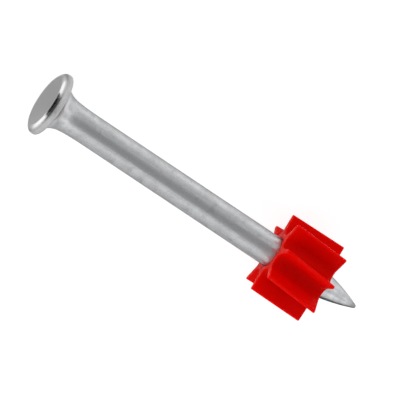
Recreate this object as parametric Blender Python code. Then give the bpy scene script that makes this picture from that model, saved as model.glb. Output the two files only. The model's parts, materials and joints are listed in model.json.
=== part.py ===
"""Powder-actuated nail with a moulded guide sleeve, lying at rest on a level surface.

The nail is one turned solid and the sleeve is one moulded solid pressed on behind the point.
Both are drawn upright, with the drive face at z = 0 and the tip at z = NAIL_LENGTH. An empty then lays
them down: the tip points along +X, and the head's rim and two fins of the sleeve touch z = 0.
"""

import math

import bmesh
import bpy

MM = 0.001

# Nail, along its axis from the drive face to the tip
NAIL_LENGTH = 44.0 * MM
SHANK_DIAMETER = 3.7 * MM
HEAD_DIAMETER = 7.85 * MM
FACE_DIAMETER = 6.3 * MM
SHOULDER_DEPTH = 0.53 * MM
SHOULDER_RADIUS = 1.2 * MM
RIM_WIDTH = 0.35 * MM
RIM_UNDER_RADIUS = 0.25 * MM
FILLET_LENGTH = 2.4 * MM
NECK_DIAMETER = 3.88 * MM
NECK_TAPER_LENGTH = 4.0 * MM
POINT_FLANK_RADIUS = 22.8 * MM
TIP_RADIUS = 0.25 * MM

# Guide sleeve
SLEEVE_DISTANCE = 32.1 * MM
SLEEVE_LENGTH = 7.0 * MM
SLEEVE_DIAMETER = 9.9 * MM
BORE_CLEARANCE = 0.2 * MM
BORE_LEAD_IN = 0.2 * MM
SLEEVE_WALL = 0.42 * MM
FIN_COUNT = 8
FIN_TIP_WIDTH = 0.42 * MM
FIN_DRAFT = math.radians(4.0)
FIN_TWIST = math.radians(7.0)
SLEEVE_EDGE_RADIUS = 0.1 * MM

# Fineness of the round forms
TURNED_SEGMENTS = 96
SHOULDER_STEPS = 7
UNDER_STEPS = 3
FILLET_STEPS = 9
FLANK_STEPS = 9
TIP_STEPS = 4
FIN_TIP_STEPS = 3
FLUTE_STEPS = 6
TWIST_STEPS = 7
EDGE_SEGMENTS = 2
EDGE_ANGLE = math.radians(60.0)
SMOOTH_ANGLE = math.radians(35.0)
MERGE_DISTANCE = 1e-8
REST_SEARCH_STEPS = 40

# Sizes that follow from those above
SHANK_RADIUS = SHANK_DIAMETER / 2
HEAD_RADIUS = HEAD_DIAMETER / 2
UNDERSIDE_Z = SHOULDER_DEPTH + RIM_WIDTH + RIM_UNDER_RADIUS
BORE_RADIUS = SHANK_RADIUS + BORE_CLEARANCE
FLUTE_FLOOR_RADIUS = BORE_RADIUS + SLEEVE_WALL
FIN_TIP_RADIUS = FIN_TIP_WIDTH / 2
FIN_TIP_CENTRE = SLEEVE_DIAMETER / 2 - FIN_TIP_RADIUS
HALF_PITCH = math.pi / FIN_COUNT


def clear_scene():
    for obj in list(bpy.data.objects):
        bpy.data.objects.remove(obj, do_unlink=True)


def make_material(name, colour, metallic, roughness):
    material = bpy.data.materials.new(name)
    material.use_nodes = True
    shader = material.node_tree.nodes["Principled BSDF"]
    shader.inputs["Base Color"].default_value = (*colour, 1.0)
    shader.inputs["Metallic"].default_value = metallic
    shader.inputs["Roughness"].default_value = roughness
    return material


def arc(centre, radii, start, end, steps):
    """Points of an elliptical arc, with its angles in radians."""
    points = []
    for step in range(steps + 1):
        angle = start + (end - start) * step / steps
        points.append((centre[0] + radii[0] * math.cos(angle), centre[1] + radii[1] * math.sin(angle)))
    return points


def bulging_arc(start, end, radius, steps):
    """Points of an arc of this radius from start to end, bulging to the right of the way between them."""
    half_way = ((start[0] + end[0]) / 2, (start[1] + end[1]) / 2)
    heading = math.atan2(end[1] - start[1], end[0] - start[0])
    half_chord = math.dist(start, end) / 2
    depth = math.sqrt(radius**2 - half_chord**2)
    centre = (half_way[0] - depth * math.sin(heading), half_way[1] + depth * math.cos(heading))
    half_turn = math.asin(half_chord / radius)
    towards = heading - math.pi / 2
    return arc(centre, (radius, radius), towards - half_turn, towards + half_turn, steps)


def head_profile():
    """Outline of the head as (radius, z), from the middle of the drive face to the end of the neck."""
    face_radius = FACE_DIAMETER / 2
    neck_radius = NECK_DIAMETER / 2
    under_radius = HEAD_RADIUS - RIM_UNDER_RADIUS
    quarter = math.pi / 2
    points = [(0.0, 0.0)]
    points += bulging_arc((face_radius, 0.0), (HEAD_RADIUS, SHOULDER_DEPTH), SHOULDER_RADIUS, SHOULDER_STEPS)
    points += arc(
        (under_radius, SHOULDER_DEPTH + RIM_WIDTH),
        (RIM_UNDER_RADIUS, RIM_UNDER_RADIUS),
        0.0,
        quarter,
        UNDER_STEPS,
    )
    fillet = arc(
        (under_radius, UNDERSIDE_Z + FILLET_LENGTH),
        (under_radius - neck_radius, FILLET_LENGTH),
        -quarter,
        -2 * quarter,
        FILLET_STEPS,
    )
    points += fillet[1:]
    points.append((SHANK_RADIUS, UNDERSIDE_Z + FILLET_LENGTH + NECK_TAPER_LENGTH))
    return points


def point_profile():
    """Outline of the point: a long curved flank that runs into a small round tip."""
    flank_centre_radius = SHANK_RADIUS - POINT_FLANK_RADIUS
    rise = math.sqrt((POINT_FLANK_RADIUS - TIP_RADIUS) ** 2 - flank_centre_radius**2)
    tip_centre_z = NAIL_LENGTH - TIP_RADIUS
    flank_start_z = tip_centre_z - rise
    meeting_angle = math.atan2(rise, -flank_centre_radius)
    flank = arc(
        (flank_centre_radius, flank_start_z),
        (POINT_FLANK_RADIUS, POINT_FLANK_RADIUS),
        0.0,
        meeting_angle,
        FLANK_STEPS,
    )
    tip = arc((0.0, tip_centre_z), (TIP_RADIUS, TIP_RADIUS), meeting_angle, math.pi / 2, TIP_STEPS)
    return flank + tip[1:-1] + [(0.0, NAIL_LENGTH)]


def turned_mesh(name, profile):
    """Spins an open (radius, z) outline, whose ends lie on the axis, into a closed solid."""
    bm = bmesh.new()
    verts = [bm.verts.new((radius, 0.0, z)) for radius, z in profile]
    edges = [bm.edges.new(pair) for pair in zip(verts, verts[1:])]
    bmesh.ops.spin(
        bm,
        geom=verts + edges,
        cent=(0.0, 0.0, 0.0),
        axis=(0.0, 0.0, 1.0),
        angle=2 * math.pi,
        steps=TURNED_SEGMENTS,
        use_merge=True,
    )
    bmesh.ops.remove_doubles(bm, verts=bm.verts[:], dist=MERGE_DISTANCE)
    return finished_mesh(bm, name)


def finished_mesh(bm, name):
    bmesh.ops.recalc_face_normals(bm, faces=bm.faces[:])
    mesh = bpy.data.meshes.new(name)
    bm.to_mesh(mesh)
    bm.free()
    mesh.shade_smooth()
    mesh.set_sharp_from_angle(angle=SMOOTH_ANGLE)
    return mesh


def add_object(name, mesh, material=None):
    obj = bpy.data.objects.new(name, mesh)
    if material:
        mesh.materials.append(material)
    bpy.context.scene.collection.objects.link(obj)
    return obj


def half_lobe():
    """Outline from the middle of a fin on +X to the middle of the flute beside it.

    The fin's tip is a full round, its flank leans by the draft, and one arc makes the flute's floor: it
    touches the flank, and it touches the flute floor's radius on the line halfway to the next fin.
    """
    flank_offset = FIN_TIP_CENTRE * math.sin(FIN_DRAFT) + FIN_TIP_RADIUS
    flute_centre = (FLUTE_FLOOR_RADIUS - flank_offset) / (1 - math.sin(HALF_PITCH + FIN_DRAFT))
    flute_radius = flute_centre - FLUTE_FLOOR_RADIUS
    flank_angle = math.pi / 2 - FIN_DRAFT
    tip = arc((FIN_TIP_CENTRE, 0.0), (FIN_TIP_RADIUS, FIN_TIP_RADIUS), 0.0, flank_angle, FIN_TIP_STEPS)
    floor = arc(
        (flute_centre * math.cos(HALF_PITCH), flute_centre * math.sin(HALF_PITCH)),
        (flute_radius, flute_radius),
        flank_angle + math.pi,
        HALF_PITCH + math.pi,
        FLUTE_STEPS,
    )
    return tip + floor


def sleeve_outline():
    """Closed outline of the fluted sleeve, with the middle of a flute on +X."""
    half = half_lobe()
    mirror = 2 * HALF_PITCH
    points = []
    for fin in range(FIN_COUNT):
        turn = (2 * fin + 1) * HALF_PITCH
        for x, y in half:
            radius = math.hypot(x, y)
            angle = math.atan2(y, x) + turn
            points.append((radius * math.cos(angle), radius * math.sin(angle)))
        for x, y in reversed(half[1:-1]):
            radius = math.hypot(x, y)
            angle = mirror - math.atan2(y, x) + turn
            points.append((radius * math.cos(angle), radius * math.sin(angle)))
    return points


def sleeve_mesh():
    """Carries the outline along the axis with a slight twist, half of it each side of mid-length."""
    bm = bmesh.new()
    cosine = math.cos(-FIN_TWIST / 2)
    sine = math.sin(-FIN_TWIST / 2)
    verts = []
    for x, y in sleeve_outline():
        verts.append(bm.verts.new((x * cosine - y * sine, x * sine + y * cosine, 0.0)))
    back = bm.faces.new(verts)
    swept = bmesh.ops.spin(
        bm,
        geom=list(back.edges),
        cent=(0.0, 0.0, 0.0),
        axis=(0.0, 0.0, 1.0),
        dvec=(0.0, 0.0, SLEEVE_LENGTH / TWIST_STEPS),
        angle=FIN_TWIST,
        steps=TWIST_STEPS,
    )
    last_edges = [item for item in swept["geom_last"] if isinstance(item, bmesh.types.BMEdge)]
    bmesh.ops.contextual_create(bm, geom=last_edges)
    return finished_mesh(bm, "guide_sleeve")


def bore_cutter():
    """Bore through the sleeve, opened out a little at both ends."""
    overrun = BORE_LEAD_IN
    wide = BORE_RADIUS + BORE_LEAD_IN + overrun
    profile = [
        (0.0, -overrun),
        (wide, -overrun),
        (BORE_RADIUS, BORE_LEAD_IN),
        (BORE_RADIUS, SLEEVE_LENGTH - BORE_LEAD_IN),
        (wide, SLEEVE_LENGTH + overrun),
        (0.0, SLEEVE_LENGTH + overrun),
    ]
    cutter = add_object("sleeve_bore_cutter", turned_mesh("sleeve_bore_cutter", profile))
    cutter.hide_render = True
    cutter.display_type = "WIRE"
    return cutter


def make_nail(material):
    return add_object("nail", turned_mesh("nail", head_profile() + point_profile()), material)


def make_sleeve(material):
    sleeve = add_object("guide_sleeve", sleeve_mesh(), material)
    edges = sleeve.modifiers.new("end_edges", "BEVEL")
    edges.width = SLEEVE_EDGE_RADIUS
    edges.segments = EDGE_SEGMENTS
    edges.limit_method = "ANGLE"
    edges.angle_limit = EDGE_ANGLE
    bore = sleeve.modifiers.new("bore", "BOOLEAN")
    bore.operation = "DIFFERENCE"
    bore.solver = "EXACT"
    bore.object = bore_cutter()
    bore.object.parent = sleeve
    return sleeve


def support_slope(fin_angle):
    """Slope of the axis at which a fin at this angle from straight down meets the floor with the rim."""
    back_end = (SLEEVE_EDGE_RADIUS, -FIN_TWIST / 2)
    front_end = (SLEEVE_LENGTH - SLEEVE_EDGE_RADIUS, FIN_TWIST / 2)
    slopes = []
    for end_z, twist in (back_end, front_end):
        reach = FIN_TIP_CENTRE * math.cos(fin_angle + twist) + FIN_TIP_RADIUS
        slopes.append((reach - HEAD_RADIUS) / (SLEEVE_DISTANCE + end_z - SHOULDER_DEPTH))
    return max(slopes)


def rest_pose():
    """(roll of the sleeve, pitch of the axis) that put two neighbouring fins and the rim on the floor."""
    low, high = -HALF_PITCH, HALF_PITCH
    for _ in range(REST_SEARCH_STEPS):
        roll = (low + high) / 2
        if support_slope(roll - HALF_PITCH) < support_slope(roll + HALF_PITCH):
            low = roll
        else:
            high = roll
    return roll, math.atan(support_slope(roll + HALF_PITCH))


def lay_down(nail, sleeve):
    """Parents both pieces to one empty, which gives them their place on the floor."""
    roll, pitch = rest_pose()
    face_overhang = FACE_DIAMETER / 2 * math.sin(pitch)
    frame = bpy.data.objects.new("nail_axis", None)
    bpy.context.scene.collection.objects.link(frame)
    frame.rotation_euler = (0.0, math.pi / 2 - pitch, 0.0)
    frame.location = (
        (face_overhang - NAIL_LENGTH * math.cos(pitch)) / 2,
        0.0,
        HEAD_RADIUS * math.cos(pitch) - SHOULDER_DEPTH * math.sin(pitch),
    )
    nail.parent = frame
    sleeve.parent = frame
    sleeve.location.z = SLEEVE_DISTANCE
    sleeve.rotation_euler.z = roll


def main():
    clear_scene()
    zinc = make_material("zinc_plated_steel", (0.52, 0.53, 0.54), 1.0, 0.32)
    red = make_material("red_plastic", (0.62, 0.005, 0.004), 0.0, 0.38)
    lay_down(make_nail(zinc), make_sleeve(red))


main()
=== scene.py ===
import json
import math

import bmesh
import bpy
from bpy.props import FloatProperty, FloatVectorProperty, IntProperty, PointerProperty
from mathutils import Euler, Matrix, Vector

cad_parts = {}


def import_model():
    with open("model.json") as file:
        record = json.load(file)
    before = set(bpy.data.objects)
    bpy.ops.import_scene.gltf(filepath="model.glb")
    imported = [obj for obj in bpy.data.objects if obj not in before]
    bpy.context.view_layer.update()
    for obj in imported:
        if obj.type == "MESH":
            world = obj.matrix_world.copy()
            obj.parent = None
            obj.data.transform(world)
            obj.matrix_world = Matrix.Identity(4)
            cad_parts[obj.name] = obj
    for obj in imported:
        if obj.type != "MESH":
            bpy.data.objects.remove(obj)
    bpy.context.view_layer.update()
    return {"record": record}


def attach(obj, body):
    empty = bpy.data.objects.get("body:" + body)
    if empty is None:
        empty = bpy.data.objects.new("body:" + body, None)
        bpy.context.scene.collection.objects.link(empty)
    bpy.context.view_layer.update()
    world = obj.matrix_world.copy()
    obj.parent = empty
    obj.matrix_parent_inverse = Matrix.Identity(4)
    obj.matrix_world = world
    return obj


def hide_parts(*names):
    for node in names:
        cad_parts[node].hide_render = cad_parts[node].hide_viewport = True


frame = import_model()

bl_info = {
    "name": "Powder-Actuated Nail Looks",
    "version": (1, 0, 0),
    "blender": (4, 5, 0),
    "location": "View3D > Sidebar > Nail",
    "description": "Models and lights the zinc-plated nail and its fluted sleeve around the packed solids",
    "category": "Object",
}

MM = 0.001
QUARTER = math.pi / 2
# Side of the square picture in pixels, and of the camera's sensor in millimetres
IMAGE_PIXELS = 400
SENSOR_WIDTH = 36.0
# Points that are nearer to each other than this, in metres, become one
MERGE_DISTANCE = 1e-7
# Points of a ring whose turn and scale agree to this many digits are moved together
MOVE_DIGITS = 6
FIN_COUNT = 8

# Steps along each stretch of the nail's and the sleeve's shape
CROWN_STEPS = 24
EASING_STEPS = 6
UNDER_STEPS = 10
FILLET_STEPS = 32
TAPER_STEPS = 16
SHANK_STEPS = 8
FLANK_STEPS = 40
TIP_STEPS = 10
FIN_TIP_STEPS = 6
FLUTE_STEPS = 18
TWIST_STEPS = 16
BORE_STEPS = 6
BEVEL_SEGMENTS = 3

# Edges that bend by more than these angles are rounded, or are shaded as sharp
ROUNDED_ANGLE = math.radians(60.0)
SHARP_NAIL_ANGLE = math.radians(30.0)
SHARP_SLEEVE_ANGLE = math.radians(35.0)

# The drive face's mount gives the place and the direction of the nail's axis
DRIVE_FACE = [mount for mount in frame["record"]["mounts"] if mount["name"] == "drive_face"][0]
FACE_CENTRE = Vector(DRIVE_FACE["pos_m"])
NAIL_AXIS = -Vector(DRIVE_FACE["axis"])
PITCH = math.asin(NAIL_AXIS.z)
# The point that the lamps face
OBJECT_CENTRE = Vector((0.0, 0.0, 0.004))


def length(name, description, millimetres):
    """A length that a user may change, given here in millimetres."""
    return FloatProperty(
        name=name,
        description=description,
        default=millimetres * MM,
        min=0.0,
        precision=5,
        subtype="DISTANCE",
        unit="LENGTH",
    )


def angle(name, description, degrees):
    """An angle that a user may change, given here in degrees."""
    value = math.radians(degrees)
    return FloatProperty(name=name, description=description, default=value, subtype="ANGLE", unit="ROTATION")


def colour(name, description, value):
    """A colour that a user may change, in linear values."""
    return FloatVectorProperty(
        name=name, description=description, default=value, min=0.0, max=1.0, size=3, subtype="COLOR"
    )


def share(name, description, value):
    """A value from 0 to 1 that a user may change."""
    return FloatProperty(
        name=name, description=description, default=value, min=0.0, max=1.0, subtype="FACTOR"
    )


def amount(name, description, value):
    """A number from 0 upwards that a user may change."""
    return FloatProperty(name=name, description=description, default=value, min=0.0)


def count(name, description, value):
    """A whole number that a user may change."""
    return IntProperty(name=name, description=description, default=value, min=3)


class NailSizes(bpy.types.PropertyGroup):
    """Sizes of the steel nail, along its axis from the drive face to the tip."""

    length: length("Length", "From the drive face to the tip", 44.0)
    shank: length("Shank diameter", "Diameter of the straight shank", 3.7)
    head: length("Head diameter", "Diameter of the head at its rim", 7.85)
    face: length("Face diameter", "Diameter of the flat drive face", 6.3)
    shoulder: length("Shoulder depth", "Depth of the rounded shoulder between face and rim", 0.53)
    crown: length("Shoulder radius", "Radius of the shoulder's curve", 1.2)
    easing: length("Edge rounding", "Reach of the rounding at the edge of the face", 0.08)
    rim_easing: length("Rim rounding", "Reach of the rounding between shoulder and rim", 0.2)
    rim: length("Rim width", "Width of the straight band round the head", 0.35)
    under: length("Under radius", "Radius of the rim's rear edge", 0.25)
    fillet: length("Fillet length", "Length of the quarter oval that shapes the fillet under the head", 2.6)
    neck: length("Neck diameter", "Diameter where the fillet passes into the neck", 3.96)
    neck_slope: angle("Neck angle", "Part of the quarter oval that the neck takes the place of", 9.5)
    taper: length("Neck taper", "Length over which the neck narrows to the shank", 4.2)
    flank: length("Flank radius", "Radius of the point's long curve", 22.8)
    tip: length("Tip radius", "Radius of the blunted tip", 0.25)
    sides: count("Sides", "Points in each ring of the nail", 192)


class SleeveSizes(bpy.types.PropertyGroup):
    """Sizes of the moulded guide sleeve."""

    distance: length("Distance", "From the drive face to the back of the sleeve", 32.1)
    length: length("Length", "Length of the sleeve along the nail", 7.0)
    diameter: length("Diameter", "Diameter over the fins", 9.9)
    bore: length("Bore diameter", "Bore, just wider than the shank that fills it", 3.74)
    lead_in: length("Lead-in", "Depth and width of the bevel at each end of the bore", 0.1)
    floor: length("Flute floor diameter", "Diameter of the body at the bottom of the flutes", 4.94)
    fin_tip: length("Fin width", "Width of a fin at its rounded tip", 0.42)
    draft: angle("Fin draft", "Lean of a fin's flank", 4.0)
    twist: angle("Twist", "Turn of the fins over the sleeve's length", 7.0)
    roll: angle("Roll", "Turn at which two fins stand on the floor", 2.7425)
    edge: length("Edge radius", "Rounding of the sleeve's end edges", 0.1)


class FinishSettings(bpy.types.PropertyGroup):
    """Colours and finish of the two pieces."""

    zinc_light: colour("Zinc, light", "Lighter patches of the zinc plating", (0.630, 0.636, 0.648))
    zinc_dark: colour("Zinc, dark", "Darker patches of the zinc plating", (0.490, 0.496, 0.508))
    head_grey: colour("Head", "Duller grey of the head's rim and shoulder", (0.455, 0.455, 0.452))
    # Painted light: the fillet's light grey lightens the crease under the head, where shade falls.
    fillet_painted_light: colour("Fillet", "Light grey of the plating under the head", (0.760, 0.762, 0.766))
    face_grey: colour("Drive face", "Grey of the flat drive face", (0.760, 0.760, 0.752))
    spot_grey: colour("Spots", "Grey of the few dull spots on the shank", (0.400, 0.404, 0.410))
    # Painted shade: the tip's darker grey darkens the end of the point.
    tip_painted_shade: colour("Tip", "Darker grey of the blunted tip", (0.300, 0.300, 0.305))
    rubbed: colour("Rubbed zinc", "Plating rubbed in places round the rim", (0.600, 0.600, 0.600))
    polished: colour("Burnished zinc", "Bright plating of the shoulder by the face", (0.940, 0.940, 0.940))
    zinc_edge: colour("Zinc, glancing", "Tint of the plating seen at a flat angle", (0.400, 0.400, 0.410))
    spot_strength: share("Spot strength", "How clearly the dull spots show", 0.45)
    zinc_roughness: share("Zinc roughness", "Roughness of the plating on the shank", 0.33)
    burnish: share("Shoulder roughness", "Roughness of the smooth rounded shoulder", 0.2)
    rim_roughness: share("Rim roughness", "Roughness of the dull rim of the head", 0.62)
    face_roughness: share("Face roughness", "Roughness of the flat drive face", 0.34)
    zinc_relief: length("Zinc relief", "Height of the plating's grain and drawn lines", 0.018)
    # The two sleeve reds paint shade: the deep red is painted shade on the flute floors by the bore, and the
    # lighter red is kept for the fins' outer parts.
    red: colour("Sleeve red", "Colour of the thin fins, which let light through", (0.680, 0.001, 0.000))
    red_valley_shade: colour("Sleeve red, deep", "Colour of the thicker wall by the bore", (0.610, 0.001, 0.000))
    scuff: colour("Scuffed plastic", "Colour of the rubbed edges", (0.800, 0.040, 0.030))
    sheen: colour("Plastic sheen", "Tint of what the plastic reflects", (1.000, 0.150, 0.120))
    plastic_shine: share("Plastic shine", "Strength of what the plastic reflects", 0.1)
    plastic_roughness: share("Plastic roughness", "Roughness of the moulded surface", 0.45)
    plastic_relief: length("Plastic relief", "Height of the plastic's grain and mould lines", 0.008)
    glow_through: share("Translucency", "Share of the light that enters the plastic", 0.8)
    glow_reach: length("Light reach", "How far red light travels in the plastic", 0.6)


class StageSettings(bpy.types.PropertyGroup):
    """The camera's view of the nail, the floor and the light."""

    view_turn: angle("View turn", "Turn of the view about the nail's axis", 169.3)
    view_tilt: angle("View tilt", "Turn of the drive face towards the camera", 16.9)
    axis_slope: angle("Axis slope", "Slope of the nail's axis in the picture, down to the right", 33.67)
    scale: amount("Scale", "Pixels of the picture for each millimetre of the object", 8.89)
    face_x: amount("Face across", "Pixels from the left edge to the drive face's centre", 45.41)
    face_y: amount("Face down", "Pixels from the top edge to the drive face's centre", 100.67)
    distance: length("Camera distance", "From the camera to the object", 1200.0)
    floor: colour("Floor", "Colour of the pale floor", (0.80, 0.80, 0.80))
    floor_glow: share("Floor glow", "Share of the floor's white that doesn't come from the lamps", 0.78)
    mirrored_glow: share("Mirrored floor glow", "The same share where the floor is mirrored", 0.34)
    surroundings: amount("Surroundings", "Brightness of the room", 0.28)


# Outlines of the pieces


def arc(centre, radii, start, end, steps):
    """Points of an elliptical arc."""
    points = []
    for step in range(steps + 1):
        at = start + (end - start) * step / steps
        points.append((centre[0] + radii[0] * math.cos(at), centre[1] + radii[1] * math.sin(at)))
    return points


def bulging_arc(start, end, radius, steps):
    """Points of an arc of this radius from start to end, bulging to the right of the way between them."""
    half_way = ((start[0] + end[0]) / 2, (start[1] + end[1]) / 2)
    heading = math.atan2(end[1] - start[1], end[0] - start[0])
    half_chord = math.dist(start, end) / 2
    depth = math.sqrt(radius**2 - half_chord**2)
    centre = (half_way[0] - depth * math.sin(heading), half_way[1] + depth * math.cos(heading))
    half_turn = math.asin(half_chord / radius)
    towards = heading - QUARTER
    return arc(centre, (radius, radius), towards - half_turn, towards + half_turn, steps)


def eased_corner(start, corner, end):
    """Points of a curve that rounds a corner off, from a point before it to a point after it."""
    points = []
    for step in range(EASING_STEPS + 1):
        at = step / EASING_STEPS
        shares = ((1 - at) ** 2, 2 * at * (1 - at), at**2)
        rounded = [sum(map(math.prod, zip(shares, places))) for places in zip(start, corner, end)]
        points.append(tuple(rounded))
    return points


def nail_outline(sizes):
    """The nail's outline as (radius, distance from the drive face), from the face's edge to the tip."""
    face = sizes.face / 2
    head = sizes.head / 2
    under = head - sizes.under
    rim_end = sizes.shoulder + sizes.rim
    underside = rim_end + sizes.under
    shank = sizes.shank / 2
    fillet_end = underside + sizes.fillet

    # Rounded shoulder and rim
    crown = bulging_arc((face, 0.0), (head, sizes.shoulder), sizes.crown, CROWN_STEPS)
    kept = [
        point
        for point in crown
        if math.dist(point, crown[0]) > sizes.easing and math.dist(point, crown[-1]) > sizes.rim_easing
    ]
    points = eased_corner((face - sizes.easing, 0.0), crown[0], kept[0])
    points += kept[1:-1]
    points += eased_corner(kept[-1], crown[-1], (head, sizes.shoulder + sizes.rim_easing))
    points += arc((under, rim_end), (sizes.under, sizes.under), 0.0, QUARTER, UNDER_STEPS)

    # Fillet under the head, then the neck, which leaves it and meets the shank without a corner
    fillet_reach = ((under - sizes.neck / 2) / math.cos(sizes.neck_slope), sizes.fillet)
    neck_turn = sizes.neck_slope - math.pi
    points += arc((under, fillet_end), fillet_reach, -QUARTER, neck_turn, FILLET_STEPS)[1:]
    excess = sizes.neck / 2 - shank
    neck_start = points[-1][1]
    steepness = fillet_reach[0] / fillet_reach[1] * math.tan(sizes.neck_slope) * sizes.taper / excess
    for step in range(1, TAPER_STEPS + 1):
        at = step / TAPER_STEPS
        points.append((shank + excess * (1 - at) ** steepness, neck_start + sizes.taper * at))

    # Straight shank, curved point and blunt tip
    flank_centre = shank - sizes.flank
    rise = math.sqrt((sizes.flank - sizes.tip) ** 2 - flank_centre**2)
    tip_centre = sizes.length - sizes.tip
    meeting = math.atan2(rise, -flank_centre)
    flank_start = tip_centre - rise
    taper_end = points[-1][1]
    for step in range(1, SHANK_STEPS):
        points.append((shank, taper_end + (flank_start - taper_end) * step / SHANK_STEPS))
    points += arc((flank_centre, flank_start), (sizes.flank, sizes.flank), 0.0, meeting, FLANK_STEPS)
    points += arc((0.0, tip_centre), (sizes.tip, sizes.tip), meeting, QUARTER, TIP_STEPS)[1:-1]
    return points


def lobe_outline(sizes):
    """(angle, radius) of the points from the middle of one fin to just before the middle of the next."""
    pitch = 2 * math.pi / FIN_COUNT
    tip = sizes.fin_tip / 2
    centre = sizes.diameter / 2 - tip
    floor = sizes.floor / 2
    flank_offset = centre * math.sin(sizes.draft) + tip
    flute_centre = (floor - flank_offset) / (1 - math.sin(pitch / 2 + sizes.draft))
    flute_radius = flute_centre - floor
    flank = QUARTER - sizes.draft
    half = arc((centre, 0.0), (tip, tip), 0.0, flank, FIN_TIP_STEPS)
    half += arc(
        (flute_centre * math.cos(pitch / 2), flute_centre * math.sin(pitch / 2)),
        (flute_radius, flute_radius),
        flank + math.pi,
        pitch / 2 + math.pi,
        FLUTE_STEPS,
    )
    points = [(math.atan2(y, x), math.hypot(x, y)) for x, y in half]
    return points + [(pitch - at, radius) for at, radius in reversed(points[1:-1])]


# Modelling in edit mode


def start_piece(name, sides, radius, fill):
    """Adds the circle that a piece grows from, and enters edit mode with its rim selected."""
    bpy.ops.object.select_all(action="DESELECT")
    bpy.ops.mesh.primitive_circle_add(vertices=sides, radius=radius, fill_type=fill, location=(0.0, 0.0, 0.0))
    piece = bpy.context.object
    piece.name = piece.data.name = name
    bpy.ops.object.mode_set(mode="EDIT")
    bpy.ops.mesh.select_mode(type="VERT")
    mesh = bmesh.from_edit_mesh(piece.data)
    select_points(piece, [vert.index for vert in mesh.verts if vert.co.length > radius / 2])
    return piece


def select_points(piece, indices):
    """Selects these points of a piece in edit mode, and the edges between them."""
    mesh = bmesh.from_edit_mesh(piece.data)
    mesh.verts.ensure_lookup_table()
    for vert in mesh.verts:
        vert.select_set(False)
    for index in indices:
        mesh.verts[index].select_set(True)
    mesh.select_flush(True)
    bmesh.update_edit_mesh(piece.data)


def selected_points(piece):
    """The selected points, as {index: place}."""
    mesh = bmesh.from_edit_mesh(piece.data)
    mesh.verts.index_update()
    return {vert.index: vert.co.copy() for vert in mesh.verts if vert.select}


def pull_ring(rise, scale=1.0, turn=0.0):
    """Extrudes the selected ring along Z, then scales and turns the new ring about Z."""
    bpy.ops.mesh.extrude_region_move(TRANSFORM_OT_translate={"value": (0.0, 0.0, rise)})
    if scale != 1.0:
        bpy.ops.transform.resize(value=(scale, scale, 1.0), center_override=(0.0, 0.0, 0.0))
    if turn:
        turn_points(turn)


def turn_points(turn):
    """Turns the selected points anticlockwise about Z, which takes the opposite sign with no window open."""
    bpy.ops.transform.rotate(value=-turn, orient_axis="Z", center_override=(0.0, 0.0, 0.0))


def close_piece(piece, place):
    """Merges what meets, turns the faces outwards, and lays the piece down at its place for good."""
    bpy.ops.mesh.select_all(action="SELECT")
    bpy.ops.mesh.remove_doubles(threshold=MERGE_DISTANCE)
    bpy.ops.mesh.normals_make_consistent(inside=False)
    bpy.ops.object.mode_set(mode="OBJECT")
    piece.matrix_world = place
    bpy.ops.object.transform_apply(location=True, rotation=True, scale=True)


def apply_modifier(piece, kind, **settings):
    """Adds one modifier to the piece and applies it."""
    modifier = piece.modifiers.new(kind.lower(), kind)
    for name, value in settings.items():
        setattr(modifier, name, value)
    bpy.ops.object.modifier_apply(modifier=modifier.name)


def laid_down(distance, roll):
    """Place of a piece that was modelled upright: Z along the nail's axis, this far from the drive face."""
    turned = Euler((0.0, QUARTER - PITCH, 0.0)).to_matrix() @ Matrix.Rotation(roll, 3, "Z")
    return Matrix.Translation(FACE_CENTRE + NAIL_AXIS * distance) @ turned.to_4x4()


def shape_fins(piece, targets):
    """Gives the ring's points the turn and the new radius that targets says, like moves together."""
    ring = selected_points(piece)
    groups = {}
    for index, place in ring.items():
        angle_now = math.atan2(place.y, place.x)
        radius_now = math.hypot(place.x, place.y)
        turn, radius = targets(angle_now, radius_now)
        move = (round(turn, MOVE_DIGITS), round(radius / radius_now, MOVE_DIGITS))
        groups.setdefault(move, []).append((index, turn, radius / radius_now))
    for members in groups.values():
        _, turn, scale = members[0]
        select_points(piece, [index for index, _, _ in members])
        bpy.ops.transform.resize(value=(scale, scale, 1.0), center_override=(0.0, 0.0, 0.0))
        turn_points(turn)
    select_points(piece, list(ring))


def model_nail(sizes):
    """Pulls the drive face's edge ring by ring along the outline to the tip."""
    outline = nail_outline(sizes)
    piece = start_piece("steel_nail", sizes.sides, outline[0][0], "TRIFAN")
    for (radius, height), (next_radius, next_height) in zip(outline, outline[1:]):
        pull_ring(next_height - height, next_radius / radius)
    pull_ring(sizes.length - outline[-1][1])
    bpy.ops.mesh.merge(type="CENTER")
    close_piece(piece, laid_down(0.0, 0.0))
    bpy.ops.object.shade_smooth_by_angle(angle=SHARP_NAIL_ANGLE)
    return piece


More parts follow.
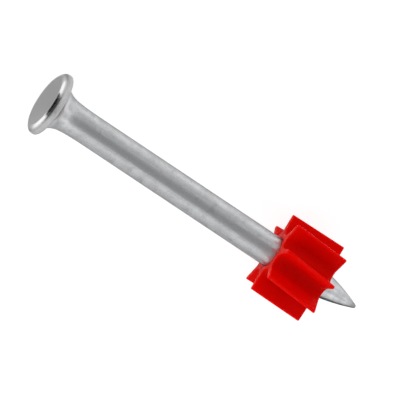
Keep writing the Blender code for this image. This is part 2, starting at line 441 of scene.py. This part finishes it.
def model_sleeve(sizes):
    """Grows the fluted wall from the mouth of the bore, and leads it back through the bore."""
    lobe = lobe_outline(sizes)
    per_lobe = len(lobe)
    sides = per_lobe * FIN_COUNT
    step = 2 * math.pi / sides
    pitch = 2 * math.pi / FIN_COUNT
    bore = sizes.bore / 2
    mouth = bore + sizes.lead_in
    half_twist = sizes.twist / 2
    star = []
    for number in range(sides):
        at, radius = lobe[number % per_lobe]
        star.append((at + pitch * (number // per_lobe) + pitch / 2, radius))
    twisted = [polar(at + half_twist, radius) for at, radius in star]

    def outwards(angle_now, _):
        """Turn and radius that take a point of the round mouth out to the fins' outline."""
        number = round((angle_now - pitch / 2) / step) % sides
        at, radius = star[number]
        return wrapped(at - half_twist - (number * step + pitch / 2)), radius

    def inwards(angle_now, radius_now):
        """Turn and radius that take a point of the twisted outline back in to a round mouth."""
        here = polar(angle_now, radius_now)
        number = min(range(sides), key=lambda point: (here - twisted[point]).length)
        return wrapped(number * step + pitch / 2 - star[number][0]), mouth

    piece = start_piece("fluted_sleeve", sides, mouth, "NOTHING")
    pull_ring(0.0)
    shape_fins(piece, outwards)
    for _ in range(TWIST_STEPS):
        pull_ring(sizes.length / TWIST_STEPS, 1.0, sizes.twist / TWIST_STEPS)
    pull_ring(0.0)
    shape_fins(piece, inwards)
    pull_ring(-sizes.lead_in, bore / mouth)
    for _ in range(BORE_STEPS):
        pull_ring(-(sizes.length - 2 * sizes.lead_in) / BORE_STEPS, 1.0, -half_twist / BORE_STEPS)
    pull_ring(-sizes.lead_in, mouth / bore)
    close_piece(piece, laid_down(sizes.distance, sizes.roll))
    bevel = {"width": sizes.edge, "segments": BEVEL_SEGMENTS, "loop_slide": False}
    apply_modifier(piece, "BEVEL", limit_method="ANGLE", angle_limit=ROUNDED_ANGLE, **bevel)
    bpy.ops.object.shade_smooth_by_angle(angle=SHARP_SLEEVE_ANGLE)
    apply_modifier(piece, "WEIGHTED_NORMAL", mode="FACE_AREA", weight=50, keep_sharp=True)
    return piece


def polar(at, radius):
    """The point at this angle and radius about the axis."""
    return Vector((math.cos(at), math.sin(at))) * radius


def wrapped(turn):
    """The same turn, between half a turn back and half a turn on."""
    return (turn + math.pi) % (2 * math.pi) - math.pi


# Node groups that both finishes share


def feed(tree, socket, value):
    """Links an output to this socket, or sets the socket to a plain value or a colour."""
    if isinstance(value, bpy.types.NodeSocket):
        tree.links.new(value, socket)
    elif socket.type == "RGBA":
        socket.default_value = (*value, 1.0)
    else:
        socket.default_value = value


def feed_all(tree, node, values):
    """Feeds a node's inputs, which are given by name or number."""
    for key, value in values.items():
        feed(tree, node.inputs[key], value)


def add_node(tree, kind, values=None, **settings):
    """Adds a node, sets its fields and feeds its inputs."""
    made = tree.nodes.new(kind)
    for name, value in settings.items():
        setattr(made, name, value)
    feed_all(tree, made, values or {})
    return made


def calculate(tree, operation, first, second=0.0, third=0.0):
    """One Math node's result."""
    return add_node(tree, "ShaderNodeMath", {0: first, 1: second, 2: third}, operation=operation).outputs[0]


def remap(tree, value, low, high, to_low=0.0, to_high=1.0):
    """The value's place between low and high, smoothed and carried over to the new range."""
    ranged = {"Value": value, "From Min": low, "From Max": high, "To Min": to_low, "To Max": to_high}
    return add_node(tree, "ShaderNodeMapRange", ranged, interpolation_type="SMOOTHSTEP").outputs["Result"]


def before(tree, value, edge, fade):
    """A mask that is 1 before the fade about an edge and 0 past it."""
    return remap(tree, value, edge + fade[0], edge + fade[1], 1.0, 0.0)


def past(tree, value, edge, fade):
    """A mask that is 0 before the fade about an edge and 1 past it."""
    return remap(tree, value, edge + fade[0], edge + fade[1])


def noise(tree, where, scale, detail):
    """A soft random value, about 0.5 on average."""
    values = {"Vector": where, "Scale": scale, "Detail": detail}
    return add_node(tree, "ShaderNodeTexNoise", values).outputs["Fac"]


def stretched(tree, where, amounts):
    """A position whose three parts are multiplied by these amounts."""
    made = add_node(tree, "ShaderNodeVectorMath", {0: where, 1: amounts}, operation="MULTIPLY")
    return made.outputs["Vector"]


def blend_values(tree, factor, first, second):
    """The first value where the factor is 0, and the second where it is 1."""
    return add_node(tree, "ShaderNodeMix", {0: factor, 2: first, 3: second}).outputs[0]


def blend_colours(tree, factor, first, second):
    """The first colour where the factor is 0, and the second where it is 1."""
    made = add_node(tree, "ShaderNodeMix", data_type="RGBA")
    sockets = {socket.name: socket for socket in made.inputs if socket.enabled}
    for name, value in (("Factor", factor), ("A", first), ("B", second)):
        feed(tree, sockets[name], value)
    return next(socket for socket in made.outputs if socket.enabled)


def new_group(name, inputs, outputs):
    """An empty node group with these sockets. Its inputs carry (name, kind, default)."""
    group = bpy.data.node_groups.new(name, "ShaderNodeTree")
    for socket, kind, default in inputs:
        made = group.interface.new_socket(socket, in_out="INPUT", socket_type=kind)
        if default is not None:
            made.default_value = default
    for socket, kind in outputs:
        group.interface.new_socket(socket, in_out="OUTPUT", socket_type=kind)
    entry = group.nodes.new("NodeGroupInput")
    result = group.nodes.new("NodeGroupOutput")
    return group, entry.outputs, result.inputs


# Noise values over which the clouds' shade and the rubbed patches come in
CLOUD_RANGE = (0.32, 0.68)
RUB_RANGE = (0.25, 0.62)
# Scale of the lines' noise along each direction, far smaller along the axis
LINE_STRETCH = (1.0, 1.0, 0.05)


def turned_position_group():
    """Distance from the axis and distance along it, for a pattern that follows a turned or moulded piece."""
    group, given, result = new_group(
        "Position About Axis",
        [("Vector", "NodeSocketVector", None)],
        [("From Axis", "NodeSocketFloat"), ("Along Axis", "NodeSocketFloat")],
    )
    flat = stretched(group, given["Vector"], (1.0, 1.0, 0.0))
    reach = add_node(group, "ShaderNodeVectorMath", {0: flat}, operation="LENGTH")
    parts = add_node(group, "ShaderNodeSeparateXYZ", {0: given["Vector"]})
    feed(group, result["From Axis"], reach.outputs["Value"])
    feed(group, result["Along Axis"], parts.outputs["Z"])
    return group


def clouding_group():
    """Soft patches with a finer grain in them, as a shade from 0 to 1 and as a height."""
    group, given, result = new_group(
        "Clouded Surface",
        [
            ("Vector", "NodeSocketVector", None),
            ("Patch Scale", "NodeSocketFloat", 1.0),
            ("Grain Scale", "NodeSocketFloat", 8.0),
            ("Grain Share", "NodeSocketFloat", 0.4),
        ],
        [("Shade", "NodeSocketFloat"), ("Height", "NodeSocketFloat")],
    )
    patches = noise(group, given["Vector"], given["Patch Scale"], detail=3.0)
    grain = noise(group, given["Vector"], given["Grain Scale"], detail=2.0)
    mixed = blend_values(group, given["Grain Share"], patches, grain)
    feed(group, result["Shade"], remap(group, mixed, *CLOUD_RANGE))
    feed(group, result["Height"], grain)
    return group


def drawn_lines_group():
    """Fine lines along the axis, as the wire has from the die and the plastic from its mould."""
    group, given, result = new_group(
        "Lines Along Axis",
        [("Vector", "NodeSocketVector", None), ("Line Scale", "NodeSocketFloat", 6.0)],
        [("Height", "NodeSocketFloat")],
    )
    drawn_out = stretched(group, given["Vector"], LINE_STRETCH)
    feed(group, result["Height"], noise(group, drawn_out, given["Line Scale"], detail=2.0))
    return group


def rubbed_edges_group():
    """Breaks an edge mask up, as handling does: rubbed in places and untouched in others."""
    group, given, result = new_group(
        "Rubbed Edges",
        [
            ("Vector", "NodeSocketVector", None),
            ("Edge", "NodeSocketFloat", 0.0),
            ("Patch Scale", "NodeSocketFloat", 2.0),
            ("Amount", "NodeSocketFloat", 0.5),
        ],
        [("Mask", "NodeSocketFloat")],
    )
    patches = noise(group, given["Vector"], given["Patch Scale"], detail=4.0)
    broken = calculate(group, "MULTIPLY", remap(group, patches, *RUB_RANGE), given["Edge"])
    feed(group, result["Mask"], calculate(group, "MULTIPLY", broken, given["Amount"]))
    return group


def shared_groups():
    """The four groups, made once."""
    if "Position About Axis" not in bpy.data.node_groups:
        for make in (turned_position_group, clouding_group, drawn_lines_group, rubbed_edges_group):
            make()
    return bpy.data.node_groups


def use_group(tree, name, values):
    """Places a shared group in a tree and returns its outputs."""
    return add_node(tree, "ShaderNodeGroup", values, node_tree=shared_groups()[name]).outputs


def new_material(name):
    """A material with only its output and a Principled shader."""
    material = bpy.data.materials.new(name)
    material.use_nodes = True
    return material, material.node_tree, material.node_tree.nodes["Principled BSDF"]


def axis_coordinates(tree, distance, roll):
    """Object coordinates in millimetres in the piece's own frame: its axis is Z, and it starts at z = 0."""
    back = laid_down(distance, roll).inverted()
    where = add_node(tree, "ShaderNodeTexCoord").outputs["Object"]
    moves = {
        "Vector": where,
        "Location": back.to_translation() / MM,
        "Rotation": back.to_euler(),
        "Scale": [1 / MM] * 3,
    }
    return add_node(tree, "ShaderNodeMapping", moves, vector_type="POINT").outputs["Vector"]


def give_relief(tree, shader, height, distance):
    """Feeds a height of this many metres to the shader's normal."""
    bump = add_node(tree, "ShaderNodeBump", {"Strength": 1.0, "Distance": distance, "Height": height})
    feed(tree, shader.inputs["Normal"], bump.outputs["Normal"])


# Fades at the edges of the nail's zones, in millimetres from the edge to the fade's two ends
FACE_DEPTH_FADE = (0.01, 0.05)
FACE_EDGE_FADE = (-0.03, 0.04)
SHOULDER_DEPTH_FADE = (-0.1, 0.0)
SHOULDER_EDGE_FADE = (0.32, 0.62)
HEAD_FADE = (0.0, 0.3)
RUBBED_RIM_FADE = (-0.12, -0.02)
DULL_RIM_FADE = (-0.17, -0.09)
# The fillet's two fades bound the painted light in the crease under the head.
FILLET_LIGHT_INNER_FADE = (0.25, 0.7)
FILLET_LIGHT_OUTER_FADE = (-0.9, -0.3)
LINES_FADE = (3.0, 7.0)
# The tip's fade bounds the painted shade at the point's end.
TIP_SHADE_FADE = (-1.6, -0.2)
# The dull spots, as the scale of their noise and the values over which they come in
SPOT_SCALE = 0.95
SPOT_RANGE = (0.64, 0.74)
# How much rougher or smoother the clouding makes the plating
ZINC_ROUGHNESS_CHANGE = 0.04


def nail_zones(tree, position, sizes):
    """Masks of the nail's zones."""
    depth = position["Along Axis"]
    reach = position["From Axis"]
    face = sizes.face / MM / 2
    head = sizes.head / MM / 2
    neck = sizes.neck / MM / 2
    shoulder_end = sizes.shoulder / MM
    on_face = (before(tree, depth, 0.0, FACE_DEPTH_FADE), before(tree, reach, face, FACE_EDGE_FADE))
    on_shoulder = (
        before(tree, depth, shoulder_end, SHOULDER_DEPTH_FADE),
        before(tree, reach, face, SHOULDER_EDGE_FADE),
    )
    # The fillet's zone is where painted light lightens the crease under the head.
    fillet_light_mask = (past(tree, reach, neck, FILLET_LIGHT_INNER_FADE), before(tree, reach, head, FILLET_LIGHT_OUTER_FADE))
    return {
        "face": calculate(tree, "MULTIPLY", *on_face),
        "shoulder": calculate(tree, "MULTIPLY", *on_shoulder),
        "fillet": calculate(tree, "MULTIPLY", *fillet_light_mask),
        "head": before(tree, depth, shoulder_end, HEAD_FADE),
        "rubbed rim": past(tree, reach, head, RUBBED_RIM_FADE),
        "dull rim": past(tree, reach, head, DULL_RIM_FADE),
        "lines": past(tree, depth, 0.0, LINES_FADE),
        # The tip's zone is where painted shade darkens the point's end.
        "tip": past(tree, depth, sizes.length / MM, TIP_SHADE_FADE),
    }


def zinc_plating(finish, sizes):
    """Satin zinc on steel: clouded, drawn along the shank, burnished on the shoulder, duller on the face,
    with painted light in the crease under the head and painted shade on the tip.
    """
    material, tree, shader = new_material("zinc_plated_steel_detailed")
    where = axis_coordinates(tree, 0.0, 0.0)
    zones = nail_zones(tree, use_group(tree, "Position About Axis", {"Vector": where}), sizes)
    cloud_values = {"Vector": where, "Patch Scale": 0.9, "Grain Scale": 5.0, "Grain Share": 0.45}
    clouding = use_group(tree, "Clouded Surface", cloud_values)
    lines = use_group(tree, "Lines Along Axis", {"Vector": where, "Line Scale": 5.0})
    rub_values = {"Vector": where, "Edge": zones["rubbed rim"], "Patch Scale": 1.6, "Amount": 0.6}
    rubbed = use_group(tree, "Rubbed Edges", rub_values)
    spots = remap(tree, noise(tree, where, SPOT_SCALE, detail=1.0), *SPOT_RANGE, 0.0, finish.spot_strength)
    layers = (
        (spots, finish.spot_grey),
        # Painted shade: the tip's grey darkens the end of the point.
        (zones["tip"], finish.tip_painted_shade),
        # Painted light: the fillet's grey lightens the crease under the head.
        (zones["fillet"], finish.fillet_painted_light),
        (zones["head"], finish.head_grey),
        (rubbed["Mask"], finish.rubbed),
        (zones["shoulder"], finish.polished),
        (zones["face"], finish.face_grey),
    )
    plating = blend_colours(tree, clouding["Shade"], finish.zinc_dark, finish.zinc_light)
    for mask, grey in layers:
        plating = blend_colours(tree, mask, plating, grey)
    dullest = finish.zinc_roughness + ZINC_ROUGHNESS_CHANGE
    rough = remap(tree, clouding["Shade"], 0.0, 1.0, dullest, finish.zinc_roughness - ZINC_ROUGHNESS_CHANGE)
    rough = blend_values(tree, zones["shoulder"], rough, finish.burnish)
    rough = blend_values(tree, zones["dull rim"], rough, finish.rim_roughness)
    rough = blend_values(tree, zones["face"], rough, finish.face_roughness)
    drawn = calculate(tree, "MULTIPLY", lines["Height"], zones["lines"])
    grain = calculate(tree, "MULTIPLY", clouding["Height"], calculate(tree, "SUBTRACT", 1.0, zones["head"]))
    give_relief(tree, shader, calculate(tree, "ADD", drawn, grain), finish.zinc_relief)
    surface = {"Base Color": plating, "Roughness": rough, "Metallic": 1.0, "Specular Tint": finish.zinc_edge}
    feed_all(tree, shader, surface)
    return material


# Fades at the sleeve's ends and crests, in the same way, and the share of rubbing that the crests get
END_FADE = (-0.14, -0.01)
CREST_FADE = (-0.16, 0.0)
CREST_RUB = 0.12
# Millimetres below its crest within which a fin keeps its lighter red; deeper in the flutes, painted shade
# darkens the red towards the floor
VALLEY_SHADE_REACH = 0.9
# What the clouding changes, and what rubbing adds to the roughness
PLASTIC_ROUGHNESS_CHANGE = 0.05
PLASTIC_RED_CHANGE = 0.12
SCUFF_ROUGHNESS = 0.15
# Shares of the light's reach in the plastic that red, green and blue have
LIGHT_REACH = (1.0, 0.05, 0.03)


def moulded_plastic(finish, sizes):
    """Soft-gloss red plastic: faintly clouded, lined along the flutes, rubbed at crests and ends, with
    painted shade darkening the red towards the flute floors.
    """
    material, tree, shader = new_material("red_plastic_detailed")
    where = axis_coordinates(tree, sizes.distance, sizes.roll)
    position = use_group(tree, "Position About Axis", {"Vector": where})
    cloud_values = {"Vector": where, "Patch Scale": 0.5, "Grain Scale": 7.0, "Grain Share": 0.25}
    clouding = use_group(tree, "Clouded Surface", cloud_values)
    lines = use_group(tree, "Lines Along Axis", {"Vector": where, "Line Scale": 3.0})
    middle = sizes.length / MM / 2
    crest = sizes.diameter / MM / 2
    from_middle = calculate(tree, "ABSOLUTE", calculate(tree, "SUBTRACT", position["Along Axis"], middle))
    at_end = past(tree, from_middle, middle, END_FADE)
    at_crest = calculate(tree, "MULTIPLY", past(tree, position["From Axis"], crest, CREST_FADE), CREST_RUB)
    edge = calculate(tree, "MAXIMUM", at_end, at_crest)
    rub_values = {"Vector": where, "Edge": edge, "Patch Scale": 1.1, "Amount": 0.6}
    rubbed = use_group(tree, "Rubbed Edges", rub_values)
    # Painted shade: the red darkens from the fins' outer parts down to the flute floors.
    valley_shade_ramp = remap(tree, position["From Axis"], sizes.floor / MM / 2, crest - VALLEY_SHADE_REACH)
    shading = remap(tree, clouding["Shade"], 0.0, 1.0, -PLASTIC_RED_CHANGE, PLASTIC_RED_CHANGE)
    valley_shade_factor = add_node(tree, "ShaderNodeClamp", {"Value": calculate(tree, "ADD", valley_shade_ramp, shading)}).outputs[0]
    red = blend_colours(tree, valley_shade_factor, finish.red_valley_shade, finish.red)
    dullest = finish.plastic_roughness + PLASTIC_ROUGHNESS_CHANGE
    glossiest = finish.plastic_roughness - PLASTIC_ROUGHNESS_CHANGE
    rough = remap(tree, clouding["Shade"], 0.0, 1.0, dullest, glossiest)
    scuffed = calculate(tree, "MULTIPLY", rubbed["Mask"], SCUFF_ROUGHNESS)
    relief = calculate(tree, "ADD", lines["Height"], clouding["Height"])
    give_relief(tree, shader, relief, finish.plastic_relief)
    surface = {
        "Base Color": blend_colours(tree, rubbed["Mask"], red, finish.scuff),
        "Roughness": calculate(tree, "ADD", rough, scuffed),
        "Specular IOR Level": finish.plastic_shine,
        "Specular Tint": finish.sheen,
        "Subsurface Weight": finish.glow_through,
        "Subsurface Scale": finish.glow_reach,
        "Subsurface Radius": LIGHT_REACH,
    }
    feed_all(tree, shader, surface)
    return material


def dress(piece, material, node):
    """Gives a finished piece its material and its place in the frame."""
    piece.data.materials.clear()
    piece.data.materials.append(material)
    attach(piece, "root")
    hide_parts(node)


# Stage

CLIP_END = 10.0
BOX_DISTANCE = 0.40
FLOOR_SIZE = 6.0
MATT_ROUGHNESS = 0.9
# How far the lamps' light on the floor falls short of white
LAMP_SHORTFALL = 0.12


def view_directions(stage):
    """The picture's right, its up, and the direction to the camera."""
    across = Vector((0.0, 1.0, 0.0))
    down = across.cross(NAIL_AXIS)
    towards = math.cos(stage.view_turn) * down + math.sin(stage.view_turn) * across
    beside = math.sin(stage.view_turn) * down - math.cos(stage.view_turn) * across
    along = math.cos(stage.view_tilt) * NAIL_AXIS + math.sin(stage.view_tilt) * towards
    to_camera = -math.sin(stage.view_tilt) * NAIL_AXIS + math.cos(stage.view_tilt) * towards
    right = math.cos(stage.axis_slope) * along + math.sin(stage.axis_slope) * beside
    up = -math.sin(stage.axis_slope) * along + math.cos(stage.axis_slope) * beside
    return right, up, to_camera


def add_camera(stage):
    """A long lens that puts the drive face's centre on its pixel of the photograph."""
    right, up, to_camera = view_directions(stage)
    pixel = MM / stage.scale
    across = (IMAGE_PIXELS / 2 - stage.face_x) * pixel
    down = (IMAGE_PIXELS / 2 - stage.face_y) * pixel
    middle = FACE_CENTRE + right * across - up * down
    data = bpy.data.cameras.new("photo_camera")
    data.sensor_width = SENSOR_WIDTH
    data.lens = SENSOR_WIDTH * stage.distance / (IMAGE_PIXELS * pixel)
    data.clip_end = CLIP_END
    camera = bpy.data.objects.new("photo_camera", data)
    bpy.context.scene.collection.objects.link(camera)
    turned = Matrix((right, up, to_camera)).transposed().to_4x4()
    camera.matrix_world = Matrix.Translation(middle + to_camera * stage.distance) @ turned
    bpy.context.scene.camera = camera


def facing_object(azimuth, elevation):
    """Place of a lamp that faces the object from this direction, in degrees, with its width level."""
    level = math.cos(math.radians(elevation))
    direction = Vector(
        (
            level * math.cos(math.radians(azimuth)),
            level * math.sin(math.radians(azimuth)),
            math.sin(math.radians(elevation)),
        )
    )
    turned = direction.to_track_quat("Z", "Y").to_matrix().to_4x4()
    return Matrix.Translation(OBJECT_CENTRE + direction * BOX_DISTANCE) @ turned


# Name, azimuth and elevation in degrees, width and height in metres, brightness
SOFT_BOXES = (
    ("far_low_box", 90.0, 9.0, 0.80, 0.125, 0.36),
    ("far_high_box", 90.0, 26.5, 0.80, 0.40, 0.22),
    ("near_box", 270.0, 36.0, 0.80, 0.53, 0.50),
    ("far_head_box", 130.0, 34.0, 0.36, 0.30, 1.80),
    ("near_head_box", 232.0, 33.0, 0.36, 0.32, 1.60),
    ("head_box", 180.0, 66.0, 0.70, 0.20, 0.28),
    ("far_point_box", 36.0, 23.0, 0.34, 0.34, 0.42),
    ("near_point_box", 320.0, 27.0, 0.34, 0.36, 0.30),
)
# The same for a round lamp that faces the point, with its diameter as width and height
ROUND_BOX = ("point_box", 0.0, 31.0, 0.52, 0.52, 0.50)
# Name, the middles of a card's two ends and the widths there, in metres, and its grey
CARDS = (
    # Painted shadow: the foot card, seen only in reflections, darkens the floor in front of the drive face as
    # the head's shadow would.
    ("foot_card", (-0.0222, 0.0, 0.0001), (-0.0252, 0.0, 0.0001), 0.016, 0.016, 0.68),
    ("floor_card", (-0.0265, 0.0, 0.0002), (-0.150, 0.0, 0.0002), 0.0036, 0.104, 0.01),
    ("standing_card", (-0.150, 0.0, 0.0), (-0.150, 0.0, 0.200), 0.104, 0.420, 0.01),
    # Painted shade: the near side card, seen only in reflections, greys the floor beside the nail on its
    # shaded side.
    ("near_side_card", (-0.017, -0.079, 0.0001), (0.080, -0.079, 0.0001), 0.142, 0.142, 0.78),
    # Painted shadow: the point card, seen only in reflections, darkens the floor below the point's near side.
    ("point_card", (0.016, -0.030, 0.0002), (0.080, -0.030, 0.0002), 0.052, 0.052, 0.05),
)


def add_soft_box(shape, name, azimuth, elevation, width, height, brightness):
    """A flat lamp, rectangular or elliptical, whose surface has this brightness."""
    data = bpy.data.lights.new(name, "AREA")
    data.shape = shape
    data.size = width
    data.size_y = height
    area = width * height * (math.pi / 4 if shape == "ELLIPSE" else 1.0)
    data.energy = brightness * math.pi * area
    lamp = bpy.data.objects.new(name, data)
    bpy.context.scene.collection.objects.link(lamp)
    lamp.matrix_world = facing_object(azimuth, elevation)


def matt_material(name, plain):
    """A dull material of one plain colour."""
    material, tree, shader = new_material(name)
    feed_all(tree, shader, {"Base Color": plain, "Roughness": MATT_ROUGHNESS, "Specular IOR Level": 0.0})
    return material, tree, shader


def add_card(name, near, far, near_width, far_width, grey):
    """A tapered card that the steel reflects as a darker gap in the bright floor; some of these cards are
    painted shadow of the floor, seen only in reflections.
    """
    bpy.ops.object.select_all(action="DESELECT")
    bpy.ops.mesh.primitive_plane_add(size=1.0, location=(0.0, 0.0, 0.0))
    card = bpy.context.object
    card.name = card.data.name = name
    bpy.ops.object.mode_set(mode="EDIT")
    for side, width in ((-1, near_width), (1, far_width)):
        select_points(card, [vert.index for vert in card.data.vertices if vert.co.x * side > 0])
        bpy.ops.transform.resize(value=(1.0, width, 1.0), center_override=(0.0, 0.0, 0.0))
    bpy.ops.object.mode_set(mode="OBJECT")
    reach = Vector(far) - Vector(near)
    turned = reach.to_track_quat("X", "Z").to_matrix().to_4x4()
    middle = Matrix.Translation(Vector(near) + reach / 2)
    card.matrix_world = middle @ turned @ Matrix.Diagonal((reach.length, 1.0, 1.0, 1.0))
    bpy.ops.object.transform_apply(location=True, rotation=True, scale=True)
    card.data.materials.append(matt_material(name, [grey] * 3)[0])
    card.visible_camera = card.visible_diffuse = card.visible_shadow = False


def glowing_white(tree, glow):
    """A white of which this share glows by itself, and the rest shows the lamps' light and shadows."""
    lit = add_node(tree, "ShaderNodeBsdfDiffuse", {"Color": [1.0 - glow + LAMP_SHORTFALL] * 3})
    own = add_node(tree, "ShaderNodeEmission", {"Strength": glow})
    return add_node(tree, "ShaderNodeAddShader", {0: lit.outputs[0], 1: own.outputs[0]}).outputs[0]


def add_floor(stage):
    """A wide pale floor at z = 0, white in the picture but for the nail's shadow."""
    bpy.ops.object.select_all(action="DESELECT")
    bpy.ops.mesh.primitive_plane_add(size=FLOOR_SIZE, location=(0.0, 0.0, 0.0))
    floor = bpy.context.object
    floor.name = floor.data.name = "pale_floor"
    material, tree, shader = matt_material("pale_floor", stage.floor)
    rays = add_node(tree, "ShaderNodeLightPath").outputs
    seen = calculate(tree, "MAXIMUM", rays["Is Camera Ray"], rays["Is Glossy Ray"])
    seen = calculate(tree, "MAXIMUM", seen, rays["Is Transmission Ray"])
    mirrored = glowing_white(tree, stage.mirrored_glow)
    pictured = glowing_white(tree, stage.floor_glow)
    shown = add_node(tree, "ShaderNodeMixShader", {0: rays["Is Camera Ray"], 1: mirrored, 2: pictured})
    mixed = add_node(tree, "ShaderNodeMixShader", {0: seen, 1: shader.outputs[0], 2: shown.outputs[0]})
    feed(tree, tree.nodes["Material Output"].inputs["Surface"], mixed.outputs[0])
    floor.data.materials.append(material)


def set_surroundings(stage):
    """An even grey room, which lights the object softly from all sides."""
    world = bpy.data.worlds.new("studio_room")
    world.use_nodes = True
    background = world.node_tree.nodes["Background"]
    feed_all(world.node_tree, background, {"Color": (1.0, 1.0, 1.0), "Strength": stage.surroundings})
    bpy.context.scene.world = world
    bpy.context.scene.view_settings.view_transform = "Standard"


class NAIL_OT_shape_nail(bpy.types.Operator):
    """Model the steel nail from its drive face to its tip and plate it with zinc"""

    bl_idname = "nail.shape_nail"
    bl_label = "Steel Nail"

    def execute(self, context):
        sizes = context.scene.nail_sizes
        piece = model_nail(sizes)
        dress(piece, zinc_plating(context.scene.nail_finish, sizes), "nail")
        return {"FINISHED"}


class NAIL_OT_shape_sleeve(bpy.types.Operator):
    """Model the fluted guide sleeve and give it its red plastic"""

    bl_idname = "nail.shape_sleeve"
    bl_label = "Guide Sleeve"

    def execute(self, context):
        sizes = context.scene.sleeve_sizes
        piece = model_sleeve(sizes)
        dress(piece, moulded_plastic(context.scene.nail_finish, sizes), "guide_sleeve")
        return {"FINISHED"}


class NAIL_OT_set_stage(bpy.types.Operator):
    """Add the floor, the lamps, the cards and the camera"""

    bl_idname = "nail.set_stage"
    bl_label = "Stage"

    def execute(self, context):
        stage = context.scene.nail_stage
        add_floor(stage)
        for box in SOFT_BOXES:
            add_soft_box("RECTANGLE", *box)
        add_soft_box("ELLIPSE", *ROUND_BOX)
        for card in CARDS:
            add_card(*card)
        set_surroundings(stage)
        add_camera(stage)
        return {"FINISHED"}


class NAIL_PT_sidebar(bpy.types.Panel):
    """Lists the nail's pieces and the stage"""

    bl_idname = "NAIL_PT_sidebar"
    bl_label = "Powder-Actuated Nail"
    bl_space_type = "VIEW_3D"
    bl_region_type = "UI"
    bl_category = "Nail"

    def draw(self, context):
        column = self.layout.column(align=True)
        for operator in OPERATORS:
            column.operator(operator.bl_idname)
        for group in SCENE_GROUPS:
            settings = getattr(context.scene, group)
            for name in settings.bl_rna.properties.keys():
                if name not in ("rna_type", "name"):
                    self.layout.prop(settings, name)


OPERATORS = (NAIL_OT_shape_nail, NAIL_OT_shape_sleeve, NAIL_OT_set_stage)
SCENE_GROUPS = {
    "nail_sizes": NailSizes,
    "sleeve_sizes": SleeveSizes,
    "nail_finish": FinishSettings,
    "nail_stage": StageSettings,
}


def register():
    for group, kind in SCENE_GROUPS.items():
        bpy.utils.register_class(kind)
        setattr(bpy.types.Scene, group, PointerProperty(type=kind))
    for kind in (*OPERATORS, NAIL_PT_sidebar):
        bpy.utils.register_class(kind)


def unregister():
    for kind in (NAIL_PT_sidebar, *reversed(OPERATORS)):
        bpy.utils.unregister_class(kind)
    for group, kind in reversed(SCENE_GROUPS.items()):
        delattr(bpy.types.Scene, group)
        bpy.utils.unregister_class(kind)


def main():
    register()
    bpy.ops.nail.shape_nail()
    bpy.ops.nail.shape_sleeve()
    bpy.ops.nail.set_stage()


if __name__ == "__main__":
    main()
